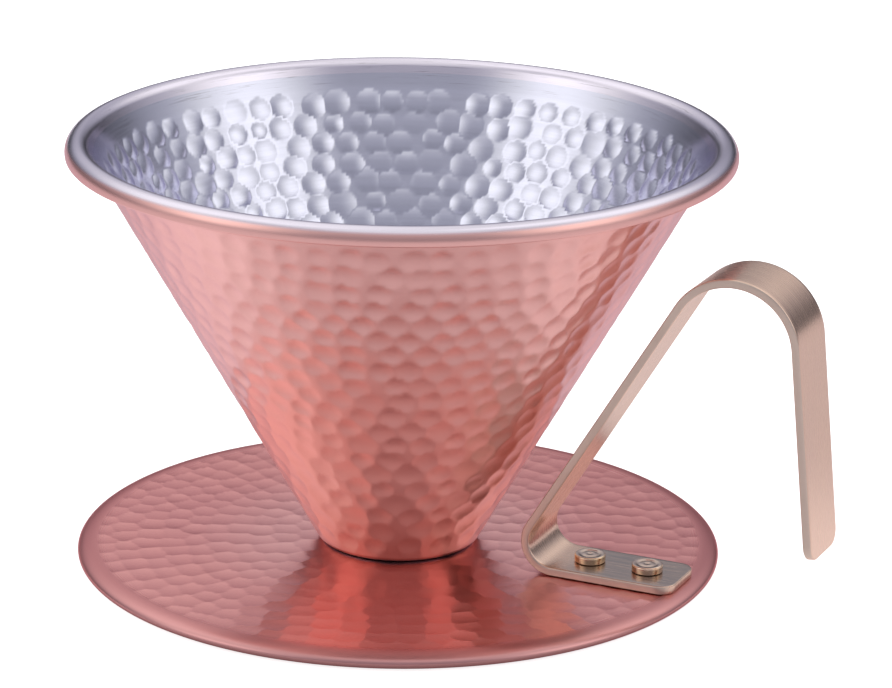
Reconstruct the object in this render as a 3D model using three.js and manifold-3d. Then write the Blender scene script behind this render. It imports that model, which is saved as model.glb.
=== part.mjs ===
// A cone coffee dripper in hammered sheet copper. A tinned cone with a rolled lip is clinched into a
// round plate that sits on a mug, and a bent brass strip riveted to the plate is the handle.
// Millimetres, +Z up. The origin is under the middle of the whole width, handle included, in the
// plane that the plate rests on. The handle points along +X, so the cone's axis stands at minus X.
import * as THREE from 'three';
import { mergeVertices } from 'three/addons/utils/BufferGeometryUtils.js';
import Module from 'manifold-3d';

const wasm = await Module();
wasm.setup();

// Cone: a spun shell with a 150 degree lip rolled outwards at the top.
const RIM_RADIUS = 58;
const LIP_CENTRE_Z = 74;
const LIP_OUTER_RADIUS = 2.3;
const LIP_END_ANGLE = -10;
const CONE_SHEET = 0.8;
const CONE_HALF_ANGLE = 29.4;

// Foot of the cone: a rounded shoulder that sits on the plate, a neck through it, and a clinch flange.
const SHOULDER_OUTER_RADIUS = 2.5;
const NECK_OUTER_RADIUS = 11.4;
const NECK_BEND_RADIUS = 0.3;
const CLINCH_FLANGE_RADIUS = 14.2;

// Plate: a flat disc whose edge rolls over softly and is turned under in a hem.
const PLATE_RADIUS = 56.8;
const PLATE_SHEET = 1;
const PLATE_HEIGHT = 2.8;
const HEM_WIDTH = 5;
const HEM_ROLL = 3.2;
const NECK_HOLE_CLEARANCE = 0.3;

// Handle: one flat strip, bent in the XZ plane.
const STRIP_WIDTH = 12.75;
const STRIP_THICKNESS = 1.5;
const STRIP_SLOPE = 58.8;
const STRIP_FOOT_END_X = 54.3;
const FOOT_BEND_INNER_RADIUS = 4.3;
const TOP_BEND_X = 63.9;
const TOP_BEND_Z = 48.75;
const TOP_BEND_OUTER_RADIUS = 12.1;
const LEG_LEAN = 5.8;
const LEG_END_Z = 13.1;
const STRIP_CORNER_RADIUS = 2.8;

// Rivets: flat cylindrical heads above the strip, set tails under the plate.
const RIVET_X = { inner: 36.9, outer: 47.6 };
const RIVET_SHANK_RADIUS = 1.6;
const RIVET_HOLE_RADIUS = 1.75;
const RIVET_HEAD_RADIUS = 2.7;
const RIVET_HEAD_HEIGHT = 1.4;
const RIVET_TAIL_RADIUS = 2.3;
const RIVET_TAIL_HEIGHT = 1;
const RIVET_CHAMFER = 0.25;

const TURNED_SIDES = 60;
const RIVET_SIDES = 24;

const PLATE_TOP = PLATE_HEIGHT;
const PLATE_UNDERSIDE = PLATE_HEIGHT - PLATE_SHEET;
const STRIP_FOOT_TOP = PLATE_TOP + STRIP_THICKNESS;

const copper = new THREE.MeshStandardMaterial({ color: 0xb87a6c, roughness: 0.32, metalness: 1 });
const brass = new THREE.MeshStandardMaterial({ color: 0xc9a483, roughness: 0.35, metalness: 1 });
const rivetBrass = new THREE.MeshStandardMaterial({ color: 0xd2a888, roughness: 0.28, metalness: 1 });

const radians = THREE.MathUtils.degToRad;

// Points on an arc, both ends included. Angles are in degrees, anticlockwise from the first axis.
function arc(centreX, centreY, radius, startAngle, endAngle, steps) {
  return Array.from({ length: steps + 1 }, (_, i) => {
    const angle = radians(startAngle + ((endAngle - startAngle) * i) / steps);
    return new THREE.Vector2(centreX + radius * Math.cos(angle), centreY + radius * Math.sin(angle));
  });
}

// Keeps positions only and merges them, so that a solid's triangles share their corners.
function closed(geometry) {
  geometry.deleteAttribute('normal');
  geometry.deleteAttribute('uv');
  return mergeVertices(geometry);
}

// Turns a (radius, z) profile about Z. The profile runs anticlockwise: up the outside, down the inside.
function turned(profile, sides) {
  return closed(new THREE.LatheGeometry(profile, sides).rotateX(Math.PI / 2));
}

function toSolid(geometry) {
  const { position } = geometry.attributes;
  return new wasm.Manifold(new wasm.Mesh({
    numProp: 3,
    vertProperties: new Float32Array(position.array),
    triVerts: new Uint32Array(geometry.index.array),
  }));
}

function toGeometry(solid) {
  const mesh = solid.getMesh();
  const geometry = new THREE.BufferGeometry();
  geometry.setAttribute('position', new THREE.BufferAttribute(mesh.vertProperties, 3));
  geometry.setIndex(new THREE.BufferAttribute(mesh.triVerts, 1));
  return geometry;
}

function named(name, geometry, material) {
  geometry.computeVertexNormals();
  const mesh = new THREE.Mesh(geometry, material);
  mesh.name = name;
  return mesh;
}

// The sheet is described by its outer face and an inner face one sheet thickness inside it. The
// wall's inner face is tangent to the outside of the lip's roll, because the sheet rolls outwards.
function coneGeometry() {
  const lipCentre = RIM_RADIUS - LIP_OUTER_RADIUS;
  const lipInner = LIP_OUTER_RADIUS - CONE_SHEET;
  const wallAngle = 180 - CONE_HALF_ANGLE;
  const edgeRadius = CONE_SHEET / 2;
  const lipMiddle = LIP_OUTER_RADIUS - edgeRadius;
  const [edgeMiddle] = arc(lipCentre, LIP_CENTRE_Z, lipMiddle, LIP_END_ANGLE, LIP_END_ANGLE, 1);

  const slope = Math.tan(radians(CONE_HALF_ANGLE));
  const outerWallAt = (z) => {
    const [tangent] = arc(lipCentre, LIP_CENTRE_Z, lipInner, wallAngle, wallAngle, 1);
    return tangent.x + (z - tangent.y) * slope;
  };
  const shoulderZ = PLATE_TOP + SHOULDER_OUTER_RADIUS;
  const shoulderX = outerWallAt(shoulderZ) - SHOULDER_OUTER_RADIUS / Math.cos(radians(CONE_HALF_ANGLE));
  const bendX = NECK_OUTER_RADIUS + NECK_BEND_RADIUS;
  const upperBendZ = PLATE_TOP - NECK_BEND_RADIUS;
  const lowerBendZ = PLATE_UNDERSIDE + NECK_BEND_RADIUS;
  const bendInside = NECK_BEND_RADIUS + CONE_SHEET;

  const outside = [
    new THREE.Vector2(CLINCH_FLANGE_RADIUS, PLATE_UNDERSIDE),
    ...arc(bendX, lowerBendZ, NECK_BEND_RADIUS, 270, 180, 2),
    ...arc(bendX, upperBendZ, NECK_BEND_RADIUS, 180, 90, 2),
    ...arc(shoulderX, shoulderZ, SHOULDER_OUTER_RADIUS, -90, -CONE_HALF_ANGLE, 5),
    ...arc(lipCentre, LIP_CENTRE_Z, lipInner, wallAngle, LIP_END_ANGLE, 9),
  ];
  const edgeStart = LIP_END_ANGLE - 180;
  const lipEdge = arc(edgeMiddle.x, edgeMiddle.y, edgeRadius, edgeStart, LIP_END_ANGLE, 4).slice(1, -1);
  const inside = [
    ...arc(lipCentre, LIP_CENTRE_Z, LIP_OUTER_RADIUS, LIP_END_ANGLE, 0, 1),
    ...arc(lipCentre, LIP_CENTRE_Z, LIP_OUTER_RADIUS, 0, 90, 5).slice(1),
    ...arc(lipCentre, LIP_CENTRE_Z, LIP_OUTER_RADIUS, 90, wallAngle, 4).slice(1),
    ...arc(shoulderX, shoulderZ, SHOULDER_OUTER_RADIUS - CONE_SHEET, -CONE_HALF_ANGLE, -90, 5),
    ...arc(bendX, upperBendZ, bendInside, 90, 180, 3),
    ...arc(bendX, lowerBendZ, bendInside, 180, 270, 3),
    new THREE.Vector2(CLINCH_FLANGE_RADIUS, PLATE_UNDERSIDE - CONE_SHEET),
  ];
  return turned([...outside, ...lipEdge, ...inside, outside[0]], TURNED_SIDES);
}

// A cylinder that drills one rivet hole through the plate and the strip.
function rivetDrill(x) {
  const depth = 4 * STRIP_THICKNESS;
  const drill = new THREE.CylinderGeometry(RIVET_HOLE_RADIUS, RIVET_HOLE_RADIUS, depth, RIVET_SIDES);
  return toSolid(closed(drill.rotateX(Math.PI / 2).translate(x, 0, PLATE_TOP)));
}

function plateGeometry() {
  const hemHalf = PLATE_HEIGHT / 2;
  const hemCentre = PLATE_RADIUS - HEM_ROLL;
  const roll = (depth, startAngle, endAngle, steps) => arc(0, 0, 1, startAngle, endAngle, steps).map(
    ({ x, y }) => new THREE.Vector2(hemCentre + x * (HEM_ROLL - depth), hemHalf + y * (hemHalf - depth)),
  );
  const holeRadius = NECK_OUTER_RADIUS + NECK_HOLE_CLEARANCE;
  const profile = [
    new THREE.Vector2(PLATE_RADIUS - HEM_WIDTH, PLATE_SHEET),
    new THREE.Vector2(PLATE_RADIUS - HEM_WIDTH, 0),
    ...roll(0, -90, 90, 10),
    new THREE.Vector2(holeRadius, PLATE_TOP),
    new THREE.Vector2(holeRadius, PLATE_UNDERSIDE),
    ...roll(PLATE_SHEET, 90, -90, 6),
  ];
  const disc = toSolid(turned([...profile, profile[0]], TURNED_SIDES));
  const drilled = Object.values(RIVET_X).reduce((solid, x) => solid.subtract(rivetDrill(x)), disc);
  return toGeometry(drilled);
}

// The two corner offcuts of a strip's end, which leave rounded corners. They are shaped at the
// origin, with +X out of the end, Y across the strip and Z through it.
function endOffcuts() {
  const radius = STRIP_CORNER_RADIUS;
  const half = STRIP_WIDTH / 2;
  const offcut = new THREE.Shape([
    ...arc(-radius, half - radius, radius, 90, 0, 6),
    new THREE.Vector2(radius, half - radius),
    new THREE.Vector2(radius, half + radius),
    new THREE.Vector2(-radius, half + radius),
  ]);
  const depth = 3 * STRIP_THICKNESS;
  return [0, Math.PI].map((turn) => new THREE.ExtrudeGeometry(offcut, { depth, bevelEnabled: false })
    .translate(0, 0, -depth / 2).rotateX(turn));
}

// The strip's middle line: foot on the plate, bend, slope beside the cone, top bend, hanging leg.
// Both bends turn the same way, and the slope is tangent to both. offset moves the line sideways,
// away from the bends' centres, to give one face of the strip.
function stripFace(offset) {
  const half = STRIP_THICKNESS / 2;
  const footRadius = FOOT_BEND_INNER_RADIUS + half;
  const topRadius = TOP_BEND_OUTER_RADIUS - half;
  const footBendZ = PLATE_TOP + half + footRadius;
  const slope = radians(STRIP_SLOPE);
  const widening = topRadius - footRadius;
  const slopeRise = TOP_BEND_Z - footBendZ + widening * Math.cos(slope);
  const footBendX = TOP_BEND_X - slopeRise / Math.tan(slope) - widening * Math.sin(slope);
  const topArc = arc(TOP_BEND_X, TOP_BEND_Z, topRadius + offset, 90 + STRIP_SLOPE, LEG_LEAN, 16);
  const legStart = topArc[topArc.length - 1];
  const legReach = (legStart.y - LEG_END_Z) * Math.tan(radians(LEG_LEAN));
  const legEnd = new THREE.Vector2(legStart.x + legReach, LEG_END_Z);
  return [
    new THREE.Vector2(STRIP_FOOT_END_X, PLATE_TOP + half - offset),
    ...arc(footBendX, footBendZ, footRadius + offset, 270, 90 + STRIP_SLOPE, 12),
    ...topArc,
    legEnd,
  ];
}

// Sets a strip end's offcuts at a point of the middle line, with the strip running along direction.
function placedOffcuts(point, direction) {
  const out = new THREE.Vector3(direction.x, 0, direction.y);
  const across = new THREE.Vector3(0, 1, 0);
  const placing = new THREE.Matrix4().makeBasis(out, across, out.clone().cross(across));
  placing.setPosition(point.x, 0, point.y);
  return endOffcuts().map((offcut) => toSolid(closed(offcut.applyMatrix4(placing))));
}

function handleGeometry() {
  const outerFace = stripFace(STRIP_THICKNESS / 2);
  const innerFace = stripFace(-STRIP_THICKNESS / 2);
  const side = new THREE.Shape([...outerFace, ...innerFace.reverse()]);
  const strip = new THREE.ExtrudeGeometry(side, { depth: STRIP_WIDTH, bevelEnabled: false })
    .translate(0, 0, -STRIP_WIDTH / 2).rotateX(Math.PI / 2);
  const middle = stripFace(0);
  const alongLeg = new THREE.Vector2(Math.sin(radians(LEG_LEAN)), -Math.cos(radians(LEG_LEAN)));
  const cuts = [
    ...placedOffcuts(middle[0], new THREE.Vector2(1, 0)),
    ...placedOffcuts(middle[middle.length - 1], alongLeg),
    ...Object.values(RIVET_X).map(rivetDrill),
  ];
  return toGeometry(cuts.reduce((solid, cut) => solid.subtract(cut), toSolid(closed(strip))));
}

function rivetGeometry(x) {
  const tailBottom = PLATE_UNDERSIDE - RIVET_TAIL_HEIGHT;
  const headTop = STRIP_FOOT_TOP + RIVET_HEAD_HEIGHT;
  const profile = [
    [0, tailBottom],
    [RIVET_TAIL_RADIUS - RIVET_CHAMFER, tailBottom],
    [RIVET_TAIL_RADIUS, tailBottom + RIVET_CHAMFER],
    [RIVET_TAIL_RADIUS, PLATE_UNDERSIDE],
    [RIVET_SHANK_RADIUS, PLATE_UNDERSIDE],
    [RIVET_SHANK_RADIUS, STRIP_FOOT_TOP],
    [RIVET_HEAD_RADIUS, STRIP_FOOT_TOP],
    [RIVET_HEAD_RADIUS, headTop - RIVET_CHAMFER],
    [RIVET_HEAD_RADIUS - RIVET_CHAMFER, headTop],
    [0, headTop],
  ].map(([radius, z]) => new THREE.Vector2(radius, z));
  return turned(profile, RIVET_SIDES).translate(x, 0, 0);
}

// The parts are shaped about the cone's axis. This group moves them so that the origin is under the
// middle of the width, which runs from the rim on one side to the handle's leg on the other.
const [handleReach] = stripFace(STRIP_THICKNESS / 2).slice(-1).map((point) => point.x);
const assembly = new THREE.Group();
assembly.position.x = (RIM_RADIUS - handleReach) / 2;
assembly.add(
  named('dripper_cone', coneGeometry(), copper),
  named('base_plate', plateGeometry(), copper),
  named('handle_strip', handleGeometry(), brass),
  named('rivet_inner', rivetGeometry(RIVET_X.inner), rivetBrass),
  named('rivet_outer', rivetGeometry(RIVET_X.outer), rivetBrass),
);

const dripper = new THREE.Group();
dripper.add(assembly);

export default dripper;
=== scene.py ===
"""A hammered copper pour over dripper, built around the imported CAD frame.

The cone and the plate are turned shells whose hammer marks are real geometry, the handle is a bent strip
with rounded edges, and the rivets are turned. Sizes are millimetres in the script, and metres in Blender.
"""

import math

import bpy
import numpy as np
from mathutils import Matrix, Vector


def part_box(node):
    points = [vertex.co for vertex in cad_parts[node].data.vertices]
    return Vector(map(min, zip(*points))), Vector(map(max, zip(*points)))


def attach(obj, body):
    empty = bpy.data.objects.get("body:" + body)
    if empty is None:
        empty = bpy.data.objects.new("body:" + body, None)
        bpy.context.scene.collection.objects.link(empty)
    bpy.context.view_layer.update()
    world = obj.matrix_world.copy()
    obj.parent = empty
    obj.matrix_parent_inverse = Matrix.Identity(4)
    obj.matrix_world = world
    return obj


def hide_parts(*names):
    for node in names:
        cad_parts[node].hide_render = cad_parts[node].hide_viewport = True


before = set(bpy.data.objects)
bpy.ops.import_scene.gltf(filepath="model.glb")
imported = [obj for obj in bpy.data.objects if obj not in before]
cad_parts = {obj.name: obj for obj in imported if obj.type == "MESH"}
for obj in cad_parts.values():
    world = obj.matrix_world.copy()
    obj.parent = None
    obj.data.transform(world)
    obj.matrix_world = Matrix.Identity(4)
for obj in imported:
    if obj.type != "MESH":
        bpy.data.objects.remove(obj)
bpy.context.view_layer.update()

MM = 0.001
cone_low, cone_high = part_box("dripper_cone")
plate_low, plate_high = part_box("base_plate")
strip_low, strip_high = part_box("handle_strip")
inner_low, inner_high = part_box("rivet_inner")
outer_low, outer_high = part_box("rivet_outer")

AXIS_X = (plate_low.x + plate_high.x) / 2 / MM

# Cone, millimetres.
RIM_RADIUS = (cone_high.x - cone_low.x) / 2 / MM
RIM_TOP = cone_high.z / MM
LIP_RADIUS = 2.3
LIP_CENTRE_R = RIM_RADIUS - LIP_RADIUS
LIP_CENTRE_Z = RIM_TOP - LIP_RADIUS
LIP_END = -10
SHEET = 0.8
HALF_ANGLE = 29.4
SHOULDER_RADIUS = 2.5
NECK_RADIUS = 11.4
NECK_BEND = 0.3
FLANGE_RADIUS = 14.2
EDGE_ROUND = 0.12

# Plate.
PLATE_RADIUS = (plate_high.x - plate_low.x) / 2 / MM
PLATE_TOP = plate_high.z / MM
PLATE_SHEET = 1.0
PLATE_UNDER = PLATE_TOP - PLATE_SHEET
HEM_WIDTH = 5
HEM_ROLL = 3.2
PLATE_HOLE = NECK_RADIUS + 0.3

# Handle.
STRIP_WIDTH = (strip_high.y - strip_low.y) / MM
STRIP_SHEET = 1.5
STRIP_SLOPE = 58.8
FOOT_END = 54.3
FOOT_BEND = 4.3
TOP_BEND_X = 63.9
TOP_BEND_Z = 48.75
TOP_BEND = 12.1
LEG_LEAN = 5.8
LEG_END_Z = 13.1
STRIP_CORNER = 2.8
STRIP_EDGE = 0.28

# Rivets.
RIVET_X = ((inner_low.x + inner_high.x) / 2 / MM, (outer_low.x + outer_high.x) / 2 / MM)
RIVET_HEAD = (inner_high.x - inner_low.x) / 2 / MM
RIVET_TOP = inner_high.z / MM
RIVET_BOTTOM = inner_low.z / MM
RIVET_SHANK = 1.6
RIVET_HOLE = 1.75
RIVET_TAIL = 2.3

rng = np.random.default_rng(27)


# ---------------------------------------------------------------- profiles

# Steps between profile points: on edges and small bends, on hidden flats, and the least distance.
EDGE_STEP = 0.08
SMALL_BEND_STEP = 0.12
FLAT_STEP = 0.8
SAME = 1e-4


def arc_points(centre_r, centre_z, radius, start, end, step_mm, outward=1):
    """Points and normals on an arc, angles in degrees. outward is -1 where the metal is outside the arc."""
    length = abs(math.radians(end - start)) * radius
    count = max(3, int(math.ceil(length / step_mm)))
    rows = []
    for i in range(count + 1):
        a = math.radians(start + (end - start) * i / count)
        c = math.cos(a)
        s = math.sin(a)
        rows.append((centre_r + radius * c, centre_z + radius * s, c * outward, s * outward))
    return rows


def line_points(start, end, normal, step_mm):
    """Points between two places, ends left out."""
    length = math.hypot(end[0] - start[0], end[1] - start[1])
    count = max(1, int(math.ceil(length / step_mm)))
    rows = []
    for i in range(1, count):
        t = i / count
        r = start[0] + (end[0] - start[0]) * t
        z = start[1] + (end[1] - start[1]) * t
        rows.append((r, z, normal[0], normal[1]))
    return rows


def same_place(a, b):
    return math.hypot(a[0] - b[0], a[1] - b[1]) < SAME


def joined(*parts):
    """One closed profile of (r, z, normal r, normal z) without doubled points."""
    rows = []
    for part in parts:
        for row in part:
            if rows and same_place(rows[-1], row):
                continue
            rows.append(row)
    if same_place(rows[0], rows[-1]):
        rows.pop()
    return np.array(rows)


# ---------------------------------------------------------------- hammer marks

PUSH = 0.24
MARK_REACH = 1.7
FAR_BELOW = -9.0
EXP_LIMIT = 40


def spread(points_at, a, s, low, high, spacing, rounds):
    """Pushes marks that stand too close apart. points_at gives 3-D places for (angle, distance)."""
    for _ in range(rounds):
        p, along, down, radius = points_at(a, s)
        gap = p[:, None, :] - p[None, :, :]
        dist = np.sqrt((gap ** 2).sum(2)) + 1e-9
        near = (dist < spacing) & (dist > 1e-6)
        push = np.where(near, (spacing - dist) / dist, 0)[:, :, None] * gap * PUSH
        move = push.sum(1)
        a = a + (move * along).sum(1) / radius
        s = np.clip(s + (move * down).sum(1), low, high)
    return a, s


class Marks:
    """Round hammer marks on a surface of revolution, as a height field with its slopes."""

    def __init__(self, a, s, size, depth, tilt):
        self.a = np.mod(a, 2 * math.pi)
        self.s = s
        self.size = size
        self.depth = depth
        self.tilt = tilt

    def field(self, angles, dist, radius, blend):
        """Depth and its slopes round and down, on a grid of angles by distance rows. radius is per row.
        blend is the height over which a mark's rim is rounded."""
        rows = len(dist)
        cols = len(angles)
        best = np.full((rows, cols), FAR_BELOW)
        slope_a = np.zeros((rows, cols))
        slope_s = np.zeros((rows, cols))
        step = angles[1] - angles[0]
        for a, s, size, depth, tilt in zip(self.a, self.s, self.size, self.depth, self.tilt):
            reach = MARK_REACH * size
            r0 = np.searchsorted(dist, s - reach)
            r1 = np.searchsorted(dist, s + reach)
            if r1 <= r0:
                continue
            smallest = max(radius[r0:r1].min(), 1)
            half = min(int(reach / smallest / step) + 2, cols // 2 - 1)
            middle = int(round(a / step))
            ids = np.arange(middle - half, middle + half + 1)
            da = ids * step - a
            u = da[None, :] * radius[r0:r1, None]
            v = (dist[r0:r1] - s)[:, None] + 0 * u
            ids = np.mod(ids, cols)
            value = depth * (1 - (u * u + v * v) / size ** 2) + tilt[0] * u + tilt[1] * v
            here = best[r0:r1][:, ids]
            wins = value > here
            block = np.ix_(np.arange(r0, r1), ids)
            best[block] = np.where(wins, value, here)
            slope_a[block] = np.where(wins, -2 * depth * u / size ** 2 + tilt[0], slope_a[block])
            slope_s[block] = np.where(wins, -2 * depth * v / size ** 2 + tilt[1], slope_s[block])
        soft = 1 / (1 + np.exp(-np.clip(best / blend, -EXP_LIMIT, EXP_LIMIT)))
        height = blend * np.logaddexp(0, np.clip(best / blend, -EXP_LIMIT, 10 * EXP_LIMIT))
        return height, slope_a * soft, slope_s * soft


def softened(grid, rounds):
    """Blurs a grid whose columns wrap. The far face of a hammered sheet is softer than the struck one."""
    for _ in range(rounds):
        grid = (np.roll(grid, 1, 1) + 2 * grid + np.roll(grid, -1, 1)) / 4
        padded = np.concatenate([grid[:1], grid, grid[-1:]])
        grid = (padded[:-2] + 2 * grid + padded[2:]) / 4
    return grid


# ---------------------------------------------------------------- meshes

def make_object(name, verts, faces, normals=None, smooth_angle=None):
    mesh = bpy.data.meshes.new(name)
    mesh.from_pydata(verts, [], faces)
    mesh.validate()
    mesh.update()
    mesh.shade_smooth()
    if normals is not None:
        mesh.normals_split_custom_set_from_vertices(normals)
    elif smooth_angle is not None:
        mesh.set_sharp_from_angle(angle=math.radians(smooth_angle))
    obj = bpy.data.objects.new(name, mesh)
    bpy.context.scene.collection.objects.link(obj)
    return obj


def ring_faces(rows, cols):
    """Quads of a grid whose rows and columns both wrap."""
    r = np.arange(rows)[:, None]
    c = np.arange(cols)[None, :]
    r2 = (r + 1) % rows
    c2 = (c + 1) % cols
    quads = np.stack([r * cols + c + 0 * r2, r * cols + c2, r2 * cols + c2, r2 * cols + c], axis=2)
    return quads.reshape(-1, 4)


def turned_shell(name, profile, cols, heights):
    """Turns a closed profile about the axis. heights gives the shift along the normal, the slope round
    and the slope along the profile for each row and column, all zero where the metal is smooth."""
    rows = len(profile)
    angles = np.arange(cols) * 2 * math.pi / cols
    r = profile[:, 0][:, None]
    z = profile[:, 1][:, None]
    nr = profile[:, 2][:, None]
    nz = profile[:, 3][:, None]
    shift, slope_a, slope_s = heights
    # slope_s runs along the profile's direction of travel, which is the normal turned a quarter.
    tr = -nz
    tz = nr
    rr = r + nr * shift
    zz = z + nz * shift
    ca = np.cos(angles)[None, :]
    sa = np.sin(angles)[None, :]
    verts = np.stack([rr * ca + AXIS_X, rr * sa, zz + 0 * ca], axis=2).reshape(-1, 3) * MM
    n_r = nr - slope_s * tr
    n_z = nz - slope_s * tz
    nx = n_r * ca + slope_a * sa
    ny = n_r * sa - slope_a * ca
    normals = np.stack([nx, ny, n_z + 0 * ca], axis=2).reshape(-1, 3)
    normals /= np.linalg.norm(normals, axis=1)[:, None]
    return make_object(name, verts.tolist(), ring_faces(rows, cols).tolist(), normals)


# ---------------------------------------------------------------- cone

TURN_STEPS = 720
WALL_STEP = 0.55
SMOOTH_STEP = 0.25
SHOULDER_STEP = 0.3
NECK_STEP = 0.2
LIP_EDGE_STEP = 0.14

tilt_cos = math.cos(math.radians(HALF_ANGLE))
tilt_sin = math.sin(math.radians(HALF_ANGLE))
WALL_ANGLE = 180 - HALF_ANGLE
LIP_INSIDE = LIP_RADIUS - SHEET


def on_circle(centre_r, centre_z, radius, angle):
    a = math.radians(angle)
    return (centre_r + radius * math.cos(a), centre_z + radius * math.sin(a))


outer_top = on_circle(LIP_CENTRE_R, LIP_CENTRE_Z, LIP_INSIDE, WALL_ANGLE)
inner_top = on_circle(LIP_CENTRE_R, LIP_CENTRE_Z, LIP_RADIUS, WALL_ANGLE)
shoulder_z = PLATE_TOP + SHOULDER_RADIUS
outer_at_shoulder = outer_top[0] + (shoulder_z - outer_top[1]) * tilt_sin / tilt_cos
shoulder_r = outer_at_shoulder - SHOULDER_RADIUS / tilt_cos
outer_foot = on_circle(shoulder_r, shoulder_z, SHOULDER_RADIUS, -HALF_ANGLE)
inner_foot = on_circle(shoulder_r, shoulder_z, SHOULDER_RADIUS - SHEET, -HALF_ANGLE)
WALL_LENGTH = math.hypot(outer_top[0] - outer_foot[0], outer_top[1] - outer_foot[1])
bend_r = NECK_RADIUS + NECK_BEND
upper_bend_z = PLATE_TOP - NECK_BEND
lower_bend_z = PLATE_UNDER + NECK_BEND
flange_low = PLATE_UNDER - SHEET
lip_edge = on_circle(LIP_CENTRE_R, LIP_CENTRE_Z, LIP_RADIUS - SHEET / 2, LIP_END)

cone_profile = joined(
    arc_points(FLANGE_RADIUS - EDGE_ROUND, flange_low + EDGE_ROUND, EDGE_ROUND, -90, 0, EDGE_STEP),
    arc_points(FLANGE_RADIUS - EDGE_ROUND, PLATE_UNDER - EDGE_ROUND, EDGE_ROUND, 0, 90, EDGE_STEP),
    line_points((FLANGE_RADIUS - EDGE_ROUND, PLATE_UNDER), (bend_r, PLATE_UNDER), (0, 1), FLAT_STEP),
    arc_points(bend_r, lower_bend_z, NECK_BEND, 270, 180, SMALL_BEND_STEP, -1),
    arc_points(bend_r, upper_bend_z, NECK_BEND, 180, 90, SMALL_BEND_STEP, -1),
    line_points((bend_r, PLATE_TOP), (shoulder_r, PLATE_TOP), (0, -1), FLAT_STEP),
    arc_points(shoulder_r, shoulder_z, SHOULDER_RADIUS, -90, -HALF_ANGLE, SHOULDER_STEP),
    line_points(outer_foot, outer_top, (tilt_cos, -tilt_sin), WALL_STEP),
    arc_points(LIP_CENTRE_R, LIP_CENTRE_Z, LIP_INSIDE, WALL_ANGLE, LIP_END, SMOOTH_STEP, -1),
    arc_points(lip_edge[0], lip_edge[1], SHEET / 2, LIP_END - 180, LIP_END, LIP_EDGE_STEP),
    arc_points(LIP_CENTRE_R, LIP_CENTRE_Z, LIP_RADIUS, LIP_END, WALL_ANGLE, SMOOTH_STEP),
    line_points(inner_top, inner_foot, (-tilt_cos, tilt_sin), WALL_STEP),
    arc_points(shoulder_r, shoulder_z, SHOULDER_RADIUS - SHEET, -HALF_ANGLE, -90, SHOULDER_STEP, -1),
    line_points((shoulder_r, PLATE_TOP + SHEET), (bend_r, PLATE_TOP + SHEET), (0, 1), FLAT_STEP),
    arc_points(bend_r, upper_bend_z, NECK_BEND + SHEET, 90, 180, NECK_STEP),
    arc_points(bend_r, lower_bend_z, NECK_BEND + SHEET, 180, 270, NECK_STEP),
    line_points((bend_r, flange_low), (FLANGE_RADIUS - EDGE_ROUND, flange_low), (0, -1), FLAT_STEP),
)

MARK_ROWS = 20
MARK_TOP = 7.0
MARK_ROW_PITCH = 3.72
MARK_PITCH = 5.1
MARK_SIZE = 2.25
MARK_DEPTH = 0.27
MARK_RIM = 0.012
# How unevenly the marks fall: round, along the row, in size, in depth and in tilt.
MARK_ROUND_JITTER = 0.5
MARK_ROW_JITTER = 0.35
MARK_SIZE_JITTER = 0.09
MARK_DEPTH_JITTER = 0.14
MARK_TILT = 0.016
MARK_SPACING = 4.4
MARK_ROUNDS = 10
OUTSIDE_SOFTENING = 1
OUTSIDE_SHARE = 0.85


def cone_places(a, s):
    """3-D places of (angle, distance below the lip), with the directions round and down, and the radius."""
    radius = inner_top[0] - s * tilt_sin
    ca = np.cos(a)
    sa = np.sin(a)
    places = np.stack([radius * ca, radius * sa, -s * tilt_cos], axis=1)
    along = np.stack([-sa, ca, 0 * ca], axis=1)
    down = np.stack([-tilt_sin * ca, -tilt_sin * sa, 0 * ca - tilt_cos], axis=1)
    return places, along, down, radius


def cone_marks():
    angles = []
    dists = []
    for row in range(MARK_ROWS):
        s = MARK_TOP + row * MARK_ROW_PITCH
        radius = inner_top[0] - s * tilt_sin
        count = int(round(2 * math.pi * radius / MARK_PITCH))
        start = rng.uniform(0, 2 * math.pi)
        for i in range(count):
            angles.append(start + 2 * math.pi * i / count + rng.normal(0, MARK_ROUND_JITTER) / radius)
            dists.append(s + rng.normal(0, MARK_ROW_JITTER))
    a = np.array(angles)
    s = np.array(dists)
    highest = MARK_TOP - 0.5
    lowest = WALL_LENGTH - 1.2
    a, s = spread(cone_places, a, s, highest, lowest, MARK_SPACING, MARK_ROUNDS)
    count = len(a)
    size = MARK_SIZE * (1 + rng.normal(0, MARK_SIZE_JITTER, count))
    depth = MARK_DEPTH * (1 + rng.normal(0, MARK_DEPTH_JITTER, count))
    tilt = rng.normal(0, MARK_TILT, (count, 2))
    return Marks(a, s, size, depth, tilt)


def smooth_heights(profile):
    """Angles of the columns, and a shift and two slopes of zero for each profile row and column."""
    angles = np.arange(TURN_STEPS) * 2 * math.pi / TURN_STEPS
    shift, slope_a, slope_s = np.zeros((3, len(profile), TURN_STEPS))
    return angles, shift, slope_a, slope_s


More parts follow.
